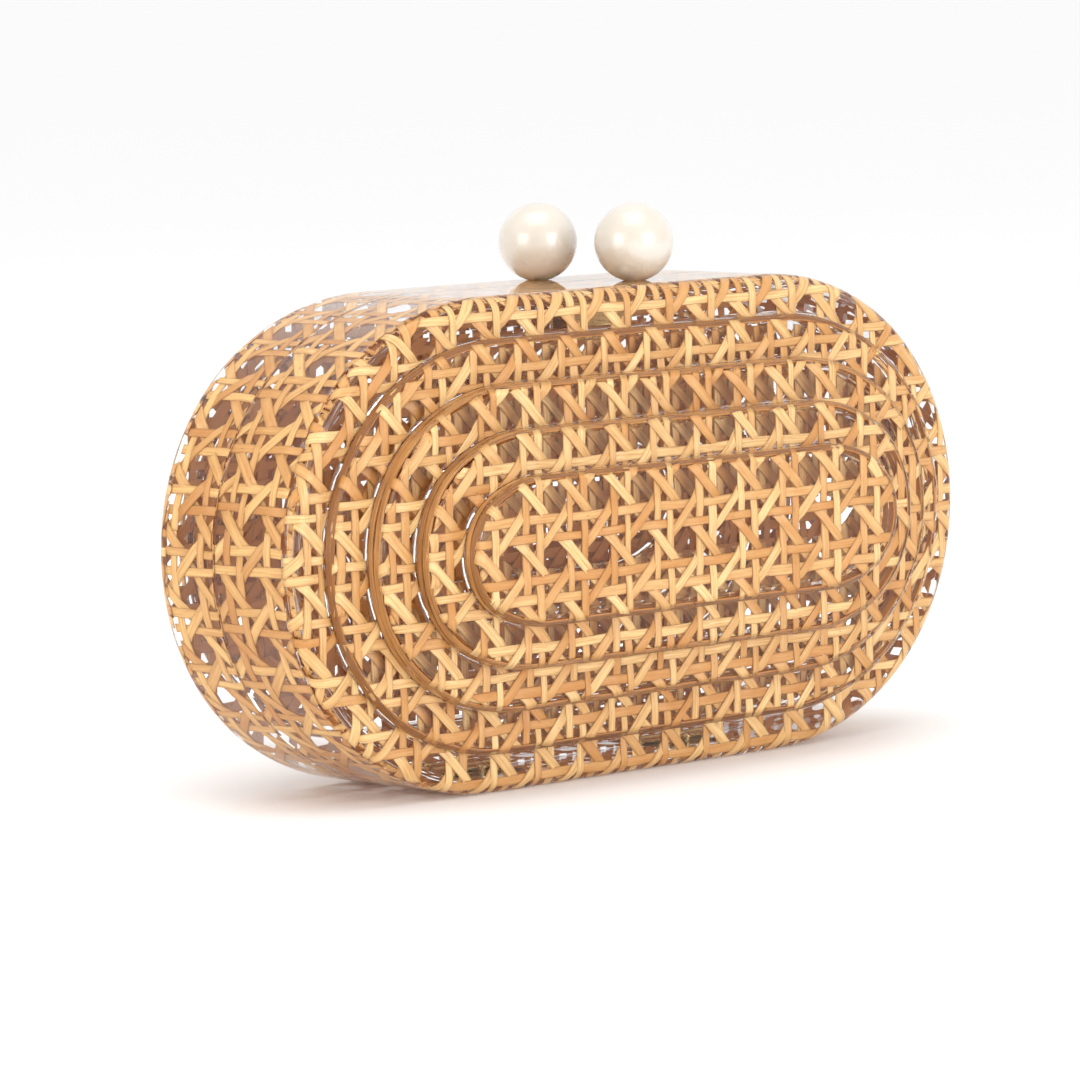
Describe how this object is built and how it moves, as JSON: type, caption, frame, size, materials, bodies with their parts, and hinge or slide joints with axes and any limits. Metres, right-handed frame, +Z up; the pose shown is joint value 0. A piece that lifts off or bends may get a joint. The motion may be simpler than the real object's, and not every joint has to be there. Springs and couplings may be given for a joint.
{
  "type": "hard oval box clutch bag",
  "caption": "Hard oval box clutch: stepped clear shells lined with woven cane, pearl knobs on top, hinged along the bottom.",
  "frame": {"origin": "middle of the width and of the whole depth, at the height of the flat bottom that the bag stands on", "axes": "+X along the width, front face towards -Y, +Z up; the two halves part at y = 3 mm, because the front half is the deeper one"},
  "size_m": [0.2, 0.0768, 0.1219],
  "materials": {
    "clear_shell": "polished clear acrylic",
    "cane": "natural cane, satin skin side",
    "band_cane": "natural cane, amber, satin skin side",
    "riser_strip": "amber brown cane strip, glossy",
    "pearl": "ivory pearl lacquer",
    "clasp_metal": "polished",
    "magnet": "nickel plated",
    "hinge_metal": "polished, pale gold"
  },
  "bodies": {
    "back_half": {"back_band_cane": "band_cane", "back_catch_bracket": "clasp_metal", "back_magnet": "magnet", "back_pearl": "pearl", "back_pearl_nut": "clasp_metal", "back_pearl_stud": "clasp_metal", "back_rim_cane": "cane", "back_riser_1_strip": "riser_strip", "back_riser_2_strip": "riser_strip", "back_riser_3_strip": "riser_strip", "back_riser_4_strip": "riser_strip", "back_shell": "clear_shell", "back_tier_1_cane": "cane", "back_tier_2_cane": "cane", "back_tier_3_cane": "cane", "back_tier_4_cane": "cane", "left_hinge_back_leaf": "hinge_metal", "left_hinge_back_rivets": "hinge_metal", "left_hinge_pin": "hinge_metal", "right_hinge_back_leaf": "hinge_metal", "right_hinge_back_rivets": "hinge_metal", "right_hinge_pin": "hinge_metal"},
    "front_half": {"front_band_cane": "band_cane", "front_catch_bracket": "clasp_metal", "front_magnet": "magnet", "front_pearl": "pearl", "front_pearl_nut": "clasp_metal", "front_pearl_stud": "clasp_metal", "front_rim_cane": "cane", "front_riser_1_strip": "riser_strip", "front_riser_2_strip": "riser_strip", "front_riser_3_strip": "riser_strip", "front_riser_4_strip": "riser_strip", "front_shell": "clear_shell", "front_tier_1_cane": "cane", "front_tier_2_cane": "cane", "front_tier_3_cane": "cane", "front_tier_4_cane": "cane", "left_hinge_front_leaf": "hinge_metal", "left_hinge_front_rivets": "hinge_metal", "right_hinge_front_leaf": "hinge_metal", "right_hinge_front_rivets": "hinge_metal"}
  },
  "joints": [
    {"name": "front_half_hinge", "type": "hinge", "parent": "back_half", "child": "front_half", "pos_m": [0, 0.003, 0.002], "axis": [1, 0, 0], "range_deg": [0, 85]}
  ]
}
